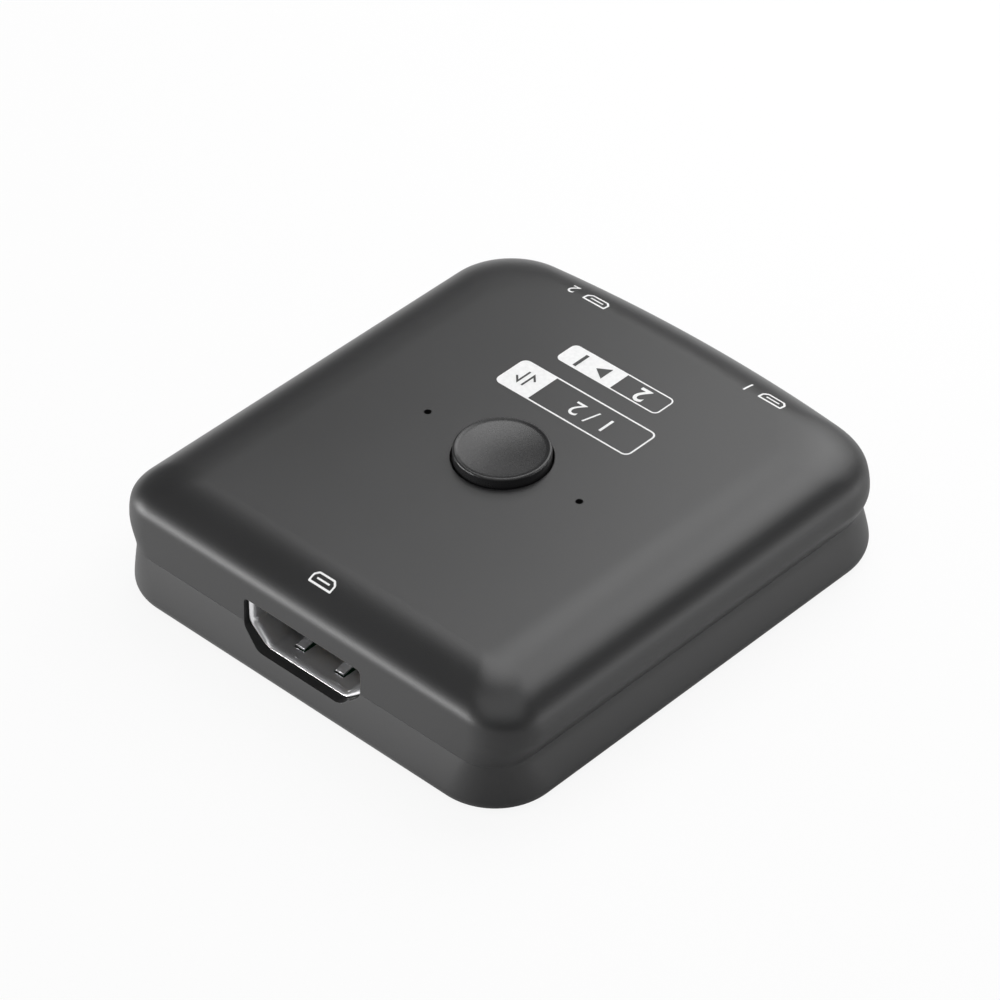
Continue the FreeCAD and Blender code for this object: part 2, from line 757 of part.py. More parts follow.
def make_port_shell(name):
    """The folded metal shell: springs cut out of it and bent inwards, four legs for the board."""
    body = new_body(f"port_shell_{name}")
    outside = new_sketch(body, "outside", "XZ_Plane")
    port_outline(outside, "edge", "0", "port_metal", "port_metal", "port_metal", "port_bend + port_metal")
    pad(body, "tube", outside, "port_depth")
    inside = new_sketch(body, "inside", "XZ_Plane")
    port_outline(inside, "edge", "0", "port_metal")
    pocket(body, "bore", inside, "port_depth", backwards=True)

    window_length = "(spring_root - spring_tip + spring_slot)"
    middle = f"-(spring_tip - spring_slot) - {window_length} / 2"
    windows = new_sketch(body, "windows", offset="port_outer_height")
    for tag, sign in (("left", "-"), ("right", "")):
        across = f"{sign}spring_spread"
        rectangle(windows, tag, across, middle, "spring_width + 2 * spring_slot", window_length)
    pocket(body, "window_cut", windows, "port_outer_height")
    side_windows = new_sketch(body, "side_windows", "YZ_Plane")
    window_width = "spring_width + 2 * spring_slot"
    rectangle(side_windows, "edge", middle, "side_spring_height", window_length, window_width)
    pocket(body, "side_window_cut", side_windows, "2 * port_outer_width", symmetric=True)

    for tag, floor, inward in (("floor", "port_metal", "+"), ("roof", "port_metal + port_height", "-")):
        outer = "-" if inward == "+" else "+"
        path = [
            ("-spring_root - spring_slot", floor),
            ("-spring_crest - spring_slot", f"{floor} {inward} spring_rise"),
            ("-spring_crest + spring_slot", f"{floor} {inward} spring_rise"),
            ("-spring_tip", f"{floor} {inward} spring_metal"),
            ("-spring_tip", floor),
            ("-spring_crest + spring_slot", f"{floor} {inward} (spring_rise - spring_metal)"),
            ("-spring_crest - spring_slot", f"{floor} {inward} (spring_rise - spring_metal)"),
            ("-spring_root - spring_slot", f"{floor} {outer} spring_metal"),
        ]
        strip = new_sketch(body, f"{tag}_spring", "YZ_Plane", "-spring_spread - spring_width / 2")
        polygon(strip, "edge", path)
        spring = pad(body, f"{tag}_spring_pad", strip, "spring_width")
        repeat(body, f"{tag}_springs", spring, "X_Axis", "2 * spring_spread", 2)

    sides = new_sketch(body, "side_spring", "XY_Plane", "side_spring_height - spring_width / 2")
    for tag, wall, inward in (("left", "-port_width / 2", "+"), ("right", "port_width / 2", "-")):
        outer = "-" if inward == "+" else "+"
        polygon(sides, tag, [
            (wall, "-spring_root - spring_slot"),
            (f"{wall} {inward} side_spring_rise", "-spring_crest - spring_slot"),
            (f"{wall} {inward} side_spring_rise", "-spring_crest + spring_slot"),
            (wall, "-spring_tip"),
            (f"{wall} {outer} spring_metal", "-spring_tip"),
            (f"{wall} {inward} (side_spring_rise - spring_metal)", "-spring_crest"),
            (f"{wall} {outer} spring_metal", "-spring_root - spring_slot"),
        ])
    pad(body, "side_springs", sides, "spring_width")

    legs = new_sketch(body, "legs", "YZ_Plane", "-port_width / 2 - port_metal")
    knee = "port_metal + port_taper"
    height = f"({knee} + port_bend + board_thickness + leg_tail)"
    for tag, leg in (("front", "leg_front"), ("rear", "leg_rear")):
        low = "-(board_thickness + leg_tail)"
        rectangle(legs, tag, f"-{leg}", f"{low} + {height} / 2", "leg_width", height)
    pair = pad(body, "left_legs", legs, "port_metal")
    repeat(body, "right_legs", pair, "X_Axis", "port_width + port_metal", 2)
    return body


def make_port_insulator(name):
    """The moulded block that closes the shell's rear, with the tongue that carries the contacts."""
    body = new_body(f"port_insulator_{name}")
    block = new_sketch(body, "block", "XZ_Plane", "port_depth - block_depth")
    port_outline(block, "edge", "0", "port_metal", "-block_clearance", "-block_clearance", None)
    pad(body, "block_pad", block, "block_depth")
    tongue = new_sketch(body, "tongue", "YZ_Plane")
    low, high = "tongue_middle - tongue_thickness / 2", "tongue_middle + tongue_thickness / 2"
    polygon(tongue, "edge", [
        ("-(port_depth - block_depth / 2)", low),
        ("-tongue_setback - tongue_bevel", low),
        ("-tongue_setback", f"{low} + tongue_bevel"),
        ("-tongue_setback", f"{high} - tongue_bevel"),
        ("-tongue_setback - tongue_bevel", high),
        ("-(port_depth - block_depth / 2)", high),
    ])
    pad(body, "tongue_pad", tongue, "tongue_width", symmetric=True)
    slots = new_sketch(body, "contact_slots", "XZ_Plane", "port_depth")
    slot_height = "contact_metal + block_clearance"
    width = f"contact_pitch * {UPPER_CONTACTS}"
    rectangle(slots, "upper", "0", f"{high} + ({slot_height}) / 2", width, slot_height)
    rectangle(slots, "lower", "0", f"{low} - ({slot_height}) / 2", width, slot_height)
    pocket(body, "slot_cut", slots, "block_depth")
    return body


def make_port_contacts(name):
    """Nineteen contacts in two rows, ten above and nine below, bent down to the board at the rear."""
    body = new_body(f"port_contacts_{name}", several=True)
    for row, sign, count in (("upper", "+", UPPER_CONTACTS), ("lower", "-", LOWER_CONTACTS)):
        touch = f"tongue_middle {sign} tongue_thickness / 2"
        outer = f"{touch} {sign} contact_metal"
        tip = "-tongue_setback - contact_setback"
        drop = "-port_depth - contact_metal"
        reach = f"{drop} - contact_metal"
        under, over = (touch, outer) if sign == "+" else (outer, touch)
        corners = [(tip, under), (drop, under), (drop, "0"), (reach, "0"), (reach, over), (tip, over)]
        start = f"-contact_pitch * {(count - 1) / 2} - contact_width / 2"
        strip = new_sketch(body, f"{row}_contact", "YZ_Plane", start)
        polygon(strip, "edge", corners)
        contact = pad(body, f"{row}_pad", strip, "contact_width")
        repeat(body, f"{row}_row", contact, "X_Axis", "contact_pitch", count)
    return body


def make_ports():
    for name, x, mouth, turn in PORTS:
        for make in (make_port_shell, make_port_insulator, make_port_contacts):
            place(make(name), x, mouth, "board_top", turn)


def make_button():
    """The cap: a dished disc with a raised rim, a flange that stops it under the roof, and a stem."""
    body = new_body("button_cap")
    rim = new_sketch(body, "profile", "XZ_Plane")
    inner = "(button_radius - button_skirt)"
    under = "(button_top - button_dish - button_roof)"
    flange_low = "flange_top - flange_thickness"
    bottom = "(button_top - button_dish)"
    reach = "(button_radius - button_rim)"
    polygon(rim, "edge", [
        ("0", "plunger_top + stem_gap"),
        ("stem_diameter / 2", "plunger_top + stem_gap"),
        ("stem_diameter / 2", under),
        (inner, under),
        (inner, flange_low),
        ("flange_radius", flange_low),
        ("flange_radius", "flange_top"),
        ("button_radius", "flange_top"),
        ("button_radius", "button_top - button_edge"),
        ("button_radius - button_edge", "button_top"),
        (reach, "button_top"),
        (reach, "button_top - rim_step"),
        ("dish_floor_diameter / 2", bottom),
        ("0", bottom),
    ])
    revolve(body, "cap", rim)
    place(body, y="button_place")


def make_switch():
    """The small push switch under the button: base, plate, plunger, snap dome and four terminals."""
    base = new_body("switch_base")
    half = "switch_width / 2"
    block = new_sketch(base, "block", offset="board_top")
    bevelled_square(block, "edge", half, "switch_bevel")
    pad(base, "block_pad", block, "switch_base_height")
    well = new_sketch(base, "well", offset="board_top + switch_base_height")
    circle(well, "edge", "0", "0", "switch_well_diameter")
    pocket(base, "well_cut", well, "switch_well_depth")

    plate = new_body("switch_plate")
    sheet = new_sketch(plate, "sheet", offset="board_top + switch_base_height")
    rectangle(sheet, "edge", "0", "0", "switch_width", "switch_width")
    circle(sheet, "hole", "0", "0", "plunger_diameter + 2 * plunger_clearance")
    pad(plate, "sheet_pad", sheet, "switch_plate")
    tabs = new_sketch(plate, "tabs", offset="plate_top")
    for tag, sign in (("front", "+"), ("back", "-")):
        rectangle(tabs, tag, "0", f"0 {sign} ({half} + switch_plate / 2)", half, "switch_plate")
    pad(plate, "tab_pad", tabs, "switch_plate + switch_base_height / 2", backwards=True)

    dome = new_body("switch_dome")
    low = "well_floor"
    for kind, name, inset, drop in (("Additive", "cup", "0", "0"),
                                    ("Subtractive", "under", "dome_foot", "dome_metal")):
        rings = []
        for tag, width, height in (("foot", "dome_width", "0"), ("crown", "dome_crown", "dome_height")):
            level = f"{low} + max(0; {height} - {drop})"
            ring = new_sketch(dome, f"{name}_{tag}", offset=level)
            half = f"{width} / 2 - {inset}"
            bevelled_square(ring, "edge", half, f"({half}) * (2 - sqrt(2))")
            rings.append(ring)
        DOC.recompute()
        loft(dome, f"{kind}Loft", name, rings)

    plunger = new_body("switch_plunger")
    half = "switch_width / 2"
    rod = new_sketch(plunger, "profile", "XZ_Plane")
    radius = "plunger_diameter / 2"
    foot = f"{low} + dome_height"
    shoulder = f"{foot} + plunger_flange_height"
    polygon(rod, "edge", [
        ("0", foot),
        (f"{radius} + plunger_flange", foot),
        (f"{radius} + plunger_flange", shoulder),
        (radius, shoulder),
        (radius, "plunger_top"),
        ("0", "plunger_top"),
    ])
    revolve(plunger, "rod", rod)

    terminals = new_body("switch_terminals", several=True)
    leg = new_sketch(terminals, "leg", "YZ_Plane", f"-{half} - terminal_metal")
    height = "(board_thickness + terminal_tail + switch_base_height / 2)"
    middle = f"board_bottom - terminal_tail + {height} / 2"
    for tag, sign in (("front", "+"), ("back", "-")):
        rectangle(leg, tag, f"0 {sign} terminal_spread", middle, "terminal_width", height)
    left = pad(terminals, "left_legs", leg, "terminal_metal")
    repeat(terminals, "right_legs", left, "X_Axis", "switch_width + terminal_metal", 2)
    for body in (base, plate, dome, plunger, terminals):
        place(body, y="button_place")


def make_leds():
    for name, x in (("led_1", "-led_spread"), ("led_2", "led_spread")):
        body = new_body(name)
        base = new_sketch(body, "base")
        rectangle(base, "edge", "0", "0", "led_length", "led_width")
        pad(body, "base_pad", base, "led_base")
        lens = new_sketch(body, "lens", offset="led_base")
        rectangle(lens, "edge", "0", "0", "led_lens_length", "led_width")
        pad(body, "lens_pad", lens, "led_height - led_base")
        place(body, x, "led_place", "board_top")


def make_chip():
    body = new_body("switch_chip")
    block = new_sketch(body, "block")
    rectangle(block, "edge", "0", "0", "chip_length", "chip_width")
    pad(body, "block_pad", block, "chip_height")
    place(body, "0", "chip_place", "board_top")

    pads = new_body("switch_chip_pads", several=True)
    start = f"-chip_pad_pitch * {(CHIP_PADS - 1) / 2}"
    for row, sign in (("front", "+"), ("back", "-")):
        shape = new_sketch(pads, f"{row}_pad")
        middle = f"0 {sign} (chip_width + chip_pad_reach) / 2"
        rectangle(shape, "edge", start, middle, "chip_pad_width", "chip_pad_reach")
        first = pad(pads, f"{row}_pad_pad", shape, "chip_pad_height")
        repeat(pads, f"{row}_row", first, "X_Axis", "chip_pad_pitch", CHIP_PADS)
    place(pads, "0", "chip_place", "board_top")


def make_regulator():
    body = new_body("regulator")
    block = new_sketch(body, "block", offset="regulator_lead_metal")
    rectangle(block, "edge", "0", "0", "regulator_length", "regulator_width")
    pad(body, "block_pad", block, "regulator_height")
    place(body, "regulator_place_x", "regulator_place_y", "board_top")

    leads = new_body("regulator_leads", several=True)
    for side, sign, count in (("front", "", 3), ("back", "-", 2)):
        pitch = f"regulator_lead_pitch * {2 if count == 2 else 1}"
        start = f"-({pitch}) * {(count - 1) / 2} - regulator_lead_width / 2"
        strip = new_sketch(leads, f"{side}_lead", "YZ_Plane", start)
        edge, middle = "regulator_width / 2", "regulator_lead_metal + regulator_height / 2"
        corners = [
            (edge, middle),
            (f"{edge} + regulator_lead_metal", middle),
            (f"{edge} + 2 * regulator_lead_metal", "regulator_lead_metal"),
            (f"{edge} + regulator_lead_reach", "regulator_lead_metal"),
            (f"{edge} + regulator_lead_reach", "0"),
            (f"{edge} + regulator_lead_metal", "0"),
            (edge, f"{middle} - regulator_lead_metal"),
        ]
        polygon(strip, "edge", [(f"{sign}({y})", z) for y, z in corners])
        lead = pad(leads, f"{side}_lead_pad", strip, "regulator_lead_width")
        repeat(leads, f"{side}_leads", lead, "X_Axis", pitch, count)
    place(leads, "regulator_place_x", "regulator_place_y", "board_top")


def small_parts(name, kind, spots):
    """A group of like small parts on the board, each lying across or, where turned, along it."""
    group = DOC.addObject("Part::Compound", name)
    group.Label = name
    items = []
    for i, (x, y, turned) in enumerate(spots):
        box = DOC.addObject("Part::Box", f"{name}_{i}")
        sizes = (f"{kind}_length", f"{kind}_width")
        if turned:
            sizes = sizes[::-1]
        bind(box, "Length", sizes[0])
        bind(box, "Width", sizes[1])
        bind(box, "Height", f"{kind}_height")
        place(box, f"{x} - {sizes[0]} / 2", f"{y} - {sizes[1]} / 2", "board_top")
        items.append(box)
    group.Links = items
    PARTS.append(group)


def make_small_parts():
    capacitors, resistors, arrays = [], [], []
    for side in ("-", ""):
        for i in range(3):
            along = f"-(capacitor_place + {i} * capacitor_step)"
            capacitors.append((f"{side}capacitor_spread", along, False))
        for end in ("-", "+"):
            along = f"regulator_place_y {end} capacitor_offset"
            capacitors.append((f"{side}regulator_place_x", along, False))
        lamp = f"{side}(led_spread + lamp_resistor_step)"
        resistors.append((lamp, "led_place + lamp_resistor_offset", False))
    beside_chip = "chip_place + chip_width / 2 + chip_pad_reach + resistor_clearance"
    for i in range(-2, 3):
        resistors.append((f"{i} * resistor_step", f"{beside_chip} + resistor_length / 2", True))
    behind_port = "output_rear - array_clearance - array_length / 2"
    for i in (-1.5, -0.5, 0.5, 1.5):
        arrays.append((f"{i} * array_step", behind_port, True))
    small_parts("capacitors", "capacitor", capacitors)
    small_parts("resistors", "resistor", resistors)
    small_parts("surge_arrays", "array", arrays)


def make_screws():
    """Three small self-tapping screws: pan head, cross recess, shank with a short point."""
    group = DOC.addObject("Part::Compound", "board_screws")
    group.Label = "board_screws"
    items = []
    for i, (x, y) in enumerate(SCREWS):
        head = DOC.addObject("Part::Cylinder", f"screw_head_{i}")
        bind(head, "Radius", "screw_head_diameter / 2")
        bind(head, "Height", "screw_head_height")
        shank = DOC.addObject("Part::Cylinder", f"screw_shank_{i}")
        bind(shank, "Radius", "pilot_diameter / 2")
        bind(shank, "Height", "screw_length + screw_head_height / 2")
        place(shank, z="-screw_length")
        blank = DOC.addObject("Part::Fuse", f"screw_blank_{i}")
        blank.Base, blank.Tool = head, shank
        arms = []
        long, short = "screw_recess_width", "screw_recess_slot"
        for name, wide, deep in (("a", long, short), ("b", short, long)):
            arm = DOC.addObject("Part::Box", f"screw_arm_{name}_{i}")
            bind(arm, "Length", wide)
            bind(arm, "Width", deep)
            bind(arm, "Height", "screw_recess")
            place(arm, f"-({wide}) / 2", f"-({deep}) / 2", "screw_head_height - screw_recess")
            arms.append(arm)
        cross = DOC.addObject("Part::Fuse", f"screw_cross_{i}")
        cross.Base, cross.Tool = arms
        screw = DOC.addObject("Part::Cut", f"screw_{i}")
        screw.Base, screw.Tool = blank, cross
        place(screw, x, y, "board_top")
        items.append(screw)
    group.Links = items
    PARTS.append(group)


def check_document():
    for item in DOC.Objects:
        if "Invalid" in item.State or "Error" in item.State:
            raise ValueError(f"{item.Label} failed: {item.State}")
    for item in PARTS:
        if item.Shape.isNull() or not item.Shape.isValid() or not item.Shape.Solids:
            raise ValueError(f"{item.Label} has no valid solid")


def write_parts():
    os.makedirs("parts", exist_ok=True)
    for item in PARTS:
        item.Shape.exportStep(f"parts/{item.Label}.step")
        print(f"{item.Label}: {len(item.Shape.Solids)} solids, {item.Shape.Volume:.2f} mm3")


fill_sheet()
make_top_cover()
make_bottom_cover()
make_board()
make_ports()
make_button()
make_switch()
make_leds()
make_chip()
make_regulator()
make_small_parts()
make_screws()
DOC.recompute()
check_document()
write_parts()
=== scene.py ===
import math

import bmesh
import bpy
from mathutils import Matrix, Vector
from mathutils.bvhtree import BVHTree


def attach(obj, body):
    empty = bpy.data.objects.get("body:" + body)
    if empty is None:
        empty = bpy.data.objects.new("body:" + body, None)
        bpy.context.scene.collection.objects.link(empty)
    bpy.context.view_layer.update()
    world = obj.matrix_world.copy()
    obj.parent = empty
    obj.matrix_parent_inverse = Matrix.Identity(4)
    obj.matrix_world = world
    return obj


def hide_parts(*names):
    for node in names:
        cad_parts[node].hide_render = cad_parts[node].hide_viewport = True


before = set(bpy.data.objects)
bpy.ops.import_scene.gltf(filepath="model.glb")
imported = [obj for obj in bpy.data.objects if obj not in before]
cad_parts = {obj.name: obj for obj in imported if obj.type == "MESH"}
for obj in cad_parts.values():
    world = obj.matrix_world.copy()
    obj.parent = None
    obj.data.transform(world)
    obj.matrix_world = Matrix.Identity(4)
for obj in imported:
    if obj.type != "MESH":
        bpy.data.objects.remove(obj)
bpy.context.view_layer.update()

# The small video switch. Sizes are in millimetres, and a mesh becomes metres when it is finished.
# The single socket faces +Y, which is called the front here, and the pair faces -Y, the bowed back.
MM = 0.001

# The housing's outside
BODY_WIDTH, BODY_DEPTH, BODY_HEIGHT = 52.5, 58.4, 13.5
FOOT_WIDTH, FOOT_HEIGHT = 1.65, 1.45
WAIST, SHOULDER, FRONT_SHOULDER = 5.6, 8.4, 10.05
SKIRT_SIDE_INSET, WAIST_SIDE_INSET = 0.25, 1.45
SKIRT_LEAN, WAIST_LEAN = 1.0, 0.15
FRONT_FACE = BODY_DEPTH / 2 - SKIRT_LEAN
BOW_RADIUS = 168.0
CROWN_WIDTH, CROWN_POWER = 8.3, 2.25
FRONT_CROWN_WIDTH, FRONT_CROWN_POWER = 5.75, 1.74
FLANK_POWER, FLARE_POWER = 1.5, 1.25
CREASE_FILL, CREASE_REACH = 0.15, 0.9
FRONT_CORNER = {"skirt": 6.8, "waist": 4.4, "shoulder": 5.1, "top": 0.7}
BACK_CORNER = {"skirt": 7.8, "waist": 7.0, "shoulder": 7.2, "top": 6.6}

# The housing's inside
WALL, ROOF, FLOOR, FLOOR_BEVEL = 1.5, 1.6, 1.3, 1.0
HOLLOW_CORNERS = (2.9, 5.5)

# The button and the two lamps' pinholes
BUTTON_Y, BUTTON_RADIUS, BUTTON_TOP, BUTTON_GAP = 1.0, 4.8, 14.55, 0.22
PINHOLE_X, PINHOLE_Y, PINHOLE_RADIUS = 9.9, 0.95, 0.375
WELL_DEPTH = 2.5

# The sockets: the opening of each, its frame in the wall and the room behind it
PORT_WIDTH, PORT_FLOOR_WIDTH, PORT_HEIGHT, PORT_TAPER = 14.0, 10.0, 4.55, 1.9
PORT_BASE, PORT_SPREAD = 3.57, 11.5
FRAME_SIDE, FRAME_HEIGHT, FRAME_ROUND, FRAME_OVERLAP = 0.62, 0.22, 0.5, 0.1
ROOM_SIDE, ROOM_BELOW, ROOM_ABOVE, ROOM_DEPTH = 0.8, 1.3, 0.8, 5.6
MOUTH = 27.1
BACK_EDGE = PORT_SPREAD + PORT_WIDTH / 2 + FRAME_SIDE
BACK_MOUTH = MOUTH - (BOW_RADIUS - math.sqrt(BOW_RADIUS**2 - BACK_EDGE**2))
PORTS = {
    "output": (0, MOUTH, 1),
    "input_1": (-PORT_SPREAD, BACK_MOUTH, -1),
    "input_2": (PORT_SPREAD, BACK_MOUTH, -1),
}

# How finely outlines and turned pieces are divided
SIDE_STEPS, FRONT_STEPS, BACK_STEPS, CORNER_STEPS = 46, 44, 44, 20
FLANK_STEPS, SKIRT_STEPS, CROWN_ANGLE, FOOT_ANGLE = 16, 20, 3, 6
TURN_STEPS, ROUND_STEPS = 128, 6
COVER_EDGE, BUTTON_EDGE, LIP_EDGE, PRINT_EDGE = 32, 40, 50, 40


# The housing's outlines. A depth takes one in from the outside, by a wall for the hollow.

def crown_share(reach, power):
    """Share of a rounding's width that is gone at a share of its height."""
    return 1 - max(0.0, 1 - reach**power) ** (1 / power)


def level(z, side, front, corners, bow):
    """One height of the housing: half its width, its front face, its corners' radii and the back's radius."""
    return {"z": z, "side": side, "front": front, "corners": corners, "bow": bow}


def corner_radii(low, high, share):
    """The front and back corners' radii at a share of the way from one height to another."""
    return [radii[low] + (radii[high] - radii[low]) * share for radii in (FRONT_CORNER, BACK_CORNER)]


def front_at(z):
    """The front face above the waist, which leans out below its shoulder."""
    return FRONT_FACE + WAIST_LEAN * max(0.0, (FRONT_SHOULDER - z) / (FRONT_SHOULDER - WAIST))


def crease_fill(z, depth):
    """What rounds the crease of the waist. The hollow has none."""
    return 0.0 if depth else CREASE_FILL * max(0.0, 1 - abs(z - WAIST) / CREASE_REACH) ** 2


def crown(angle, depth=0.0):
    """The outline on the crowned top, from the shoulder at 0 degrees to its middle at 90."""
    rise, lean = math.sin(math.radians(angle)), math.cos(math.radians(angle))
    z = SHOULDER + (BODY_HEIGHT - SHOULDER) * rise ** (2 / CROWN_POWER)
    gone = 1 - lean ** (2 / CROWN_POWER)
    reach = max(0.0, (z - FRONT_SHOULDER) / (BODY_HEIGHT - FRONT_SHOULDER))
    front_gone = FRONT_CROWN_WIDTH * crown_share(min(reach, 1.0), FRONT_CROWN_POWER)
    inset = depth * lean
    side = BODY_WIDTH / 2 - CROWN_WIDTH * gone - inset
    front = front_at(z) - front_gone - inset
    corners = HOLLOW_CORNERS if depth else corner_radii("shoulder", "top", gone)
    height = z - (ROOF * rise if depth else 0.0)
    return level(height, side, front, corners, BOW_RADIUS - front_gone - inset)


def flank(share, depth=0.0):
    """The outline from the shoulder, share 0, down to the waist, share 1."""
    z = SHOULDER - share * (SHOULDER - WAIST)
    side = BODY_WIDTH / 2 - WAIST_SIDE_INSET * share**FLANK_POWER - depth + crease_fill(z, depth)
    corners = HOLLOW_CORNERS if depth else corner_radii("shoulder", "waist", share)
    return level(z, side, front_at(z) - depth, corners, BOW_RADIUS - depth)


def skirt(share, depth=0.0, height=None):
    """The outline from the top of the foot's rounding, share 0, up to the waist, share 1."""
    bend = share**FLARE_POWER
    z = FOOT_HEIGHT + share * (WAIST - FOOT_HEIGHT) if height is None else height
    side_inset = SKIRT_SIDE_INSET + (WAIST_SIDE_INSET - SKIRT_SIDE_INSET) * bend
    side = BODY_WIDTH / 2 - side_inset - depth + crease_fill(z, depth)
    front = BODY_DEPTH / 2 - (SKIRT_LEAN - WAIST_LEAN) * bend - depth
    corners = [radius - depth for radius in corner_radii("skirt", "waist", bend)]
    return level(z, side, front, corners, BOW_RADIUS - depth)


def foot(angle):
    """The outline on the foot's rounding, from the base at 90 degrees to the skirt at 0."""
    turn = math.radians(angle)
    return skirt(0, FOOT_WIDTH * (1 - math.cos(turn)), FOOT_HEIGHT * (1 - math.sin(turn)))


def ring(shape):
    """The points of a level's outline, always as many, from the back corner at +X to the front and round."""
    side, front, bow, z = shape["side"], shape["front"], shape["bow"], shape["z"]
    near, far = shape["corners"]
    centre = bow - front
    start = centre - math.sqrt((bow - far) ** 2 - (side - far) ** 2)
    touch = math.atan2(start - centre, side - far)
    quarter = math.pi / 2

    def run(a, b, count):
        return [(a[0] + (b[0] - a[0]) * i / count, a[1] + (b[1] - a[1]) * i / count) for i in range(count)]

    def turn(x, y, radius, a, b, count):
        angles = [a + (b - a) * i / count for i in range(count)]
        return [(x + radius * math.cos(angle), y + radius * math.sin(angle)) for angle in angles]

    points = run((side, start), (side, front - near), SIDE_STEPS)
    points += turn(side - near, front - near, near, 0, quarter, CORNER_STEPS)
    points += run((side - near, front), (near - side, front), FRONT_STEPS)
    points += turn(near - side, front - near, near, quarter, 2 * quarter, CORNER_STEPS)
    points += run((-side, front - near), (-side, start), SIDE_STEPS)
    points += turn(far - side, start, far, 2 * quarter, 2 * quarter - touch, CORNER_STEPS)
    points += turn(0, centre, bow, 2 * quarter - touch, 4 * quarter + touch, BACK_STEPS)
    points += turn(side - far, start, far, 4 * quarter + touch, 4 * quarter, CORNER_STEPS)
    return [(x, y, z) for x, y in points]


def socket_outline(x, wide, narrow, low, knee, high):
    """A socket's six corners round x: wide is half its full width, and narrow is half its floor's."""
    right = [(x + narrow, low), (x + wide, knee), (x + wide, high)]
    left = [(x - wide, high), (x - wide, knee)]
    return [(x - narrow, low)] + right + left


def port_outline(x, grow_side, grow_height):
    """The opening of a real socket in X and Z, grown by some."""
    wide, narrow = PORT_WIDTH / 2 + grow_side, PORT_FLOOR_WIDTH / 2 + grow_side / 2
    low, knee = PORT_BASE - grow_height, PORT_BASE + PORT_TAPER - grow_height
    return socket_outline(x, wide, narrow, low, knee, PORT_BASE + PORT_HEIGHT + grow_height)


# Making meshes

def finished(name, work, edge_angle=None):
    """An object with its place in its mesh, from a bmesh in millimetres."""
    bmesh.ops.transform(work, matrix=Matrix.Scale(MM, 4), verts=work.verts)
    mesh = bpy.data.meshes.new(name)
    work.to_mesh(mesh)
    work.free()
    piece = bpy.data.objects.new(name, mesh)
    bpy.context.scene.collection.objects.link(piece)
    if edge_angle is not None:
        shade(piece, edge_angle)
    return piece


def shade(piece, edge_angle):
    """Smooth faces, with sharp edges from some degrees on."""
    for face in piece.data.polygons:
        face.use_smooth = True
    piece.data.set_sharp_from_angle(angle=math.radians(edge_angle))


def closed_loop(work, points):
    """New edges that join points in a ring."""
    made = [work.verts.new(point) for point in points]
    return [work.edges.new((made[i - 1], made[i])) for i in range(len(made))]


def round_corners(work, radius):
    """Rounds the corners of a bmesh's one flat face."""
    bmesh.ops.bevel(
        work, geom=list(work.verts), offset=radius, offset_type="OFFSET", affect="VERTICES",
        segments=ROUND_STEPS, profile=0.5, material=-1,
    )


def rounded(corners, radius):
    """A flat outline's points with its corners rounded."""
    part = bmesh.new()
    part.faces.new([part.verts.new(corner) for corner in corners])
    round_corners(part, radius)
    points = [vertex.co.copy() for vertex in list(part.faces)[0].verts]
    part.free()
    return points


def lofted(name, levels):
    """A closed solid through the housing's outlines, one above the other."""
    work = bmesh.new()
    loops = [closed_loop(work, ring(shape)) for shape in levels]
    for low, high in zip(loops, loops[1:]):
        bmesh.ops.bridge_loops(work, edges=low + high)
    for loop in (loops[0], loops[-1]):
        bmesh.ops.contextual_create(work, geom=loop)
    bmesh.ops.recalc_face_normals(work, faces=work.faces)
    return finished(name, work)


def prism(name, corners, start, end, radius):
    """A bar along Y with a rounded outline in X and Z."""
    work = bmesh.new()
    work.faces.new([work.verts.new((x, start, z)) for x, z in corners])
    round_corners(work, radius)
    run = bmesh.ops.extrude_face_region(work, geom=list(work.faces))
    moved = [part for part in run["geom"] if isinstance(part, bmesh.types.BMVert)]
    bmesh.ops.translate(work, vec=(0, end - start, 0), verts=moved)
    bmesh.ops.recalc_face_normals(work, faces=work.faces)
    return finished(name, work)


def box(name, low, high):
    work = bmesh.new()
    bmesh.ops.create_cube(work, size=1.0)
    middle = (Vector(low) + Vector(high)) / 2
    bmesh.ops.scale(work, vec=Vector(high) - Vector(low), verts=work.verts)
    bmesh.ops.translate(work, vec=middle, verts=work.verts)
    return finished(name, work)


def well(name, x, y, radius, segments):
    """A round cutter down into the top."""
    low, high = BODY_HEIGHT - WELL_DEPTH, BODY_HEIGHT + 1
    work = bmesh.new()
    bmesh.ops.create_cone(
        work, cap_ends=True, segments=segments, radius1=radius, radius2=radius, depth=high - low,
        matrix=Matrix.Translation((x, y, (low + high) / 2)),
    )
    return finished(name, work)


def port_cutters():
    """Each socket's opening through the wall and the room for the socket behind it."""
    beyond = BODY_DEPTH / 2 + 1.8
    cutters = []
    for name, (x, mouth, side) in PORTS.items():
        frame_outline = port_outline(x, FRAME_SIDE, FRAME_HEIGHT)
        start = side * (mouth - FRAME_OVERLAP)
        cutters.append(prism(f"{name}_opening", frame_outline, start, side * beyond, FRAME_ROUND))
        half = PORT_WIDTH / 2 + ROOM_SIDE
        y0, y1 = sorted((side * (mouth + FRAME_OVERLAP), side * (mouth - ROOM_DEPTH)))
        low, high = PORT_BASE - ROOM_BELOW, PORT_BASE + PORT_HEIGHT + ROOM_ABOVE
        cutters.append(box(f"{name}_room", (x - half, y0, low), (x + half, y1, high)))
    return cutters


def cut(piece, cutters, edge_angle):
    """Takes the cutters out of a piece, then drops them."""
    for cutter in cutters:
        step = piece.modifiers.new(cutter.name, "BOOLEAN")
        step.operation = "DIFFERENCE"
        step.solver = "EXACT"
        step.object = cutter
    graph = bpy.context.evaluated_depsgraph_get()
    mesh = bpy.data.meshes.new_from_object(piece.evaluated_get(graph))
    piece.modifiers.clear()
    piece.data = mesh
    for cutter in cutters:
        bpy.data.objects.remove(cutter)
    shade(piece, edge_angle)


# The pieces

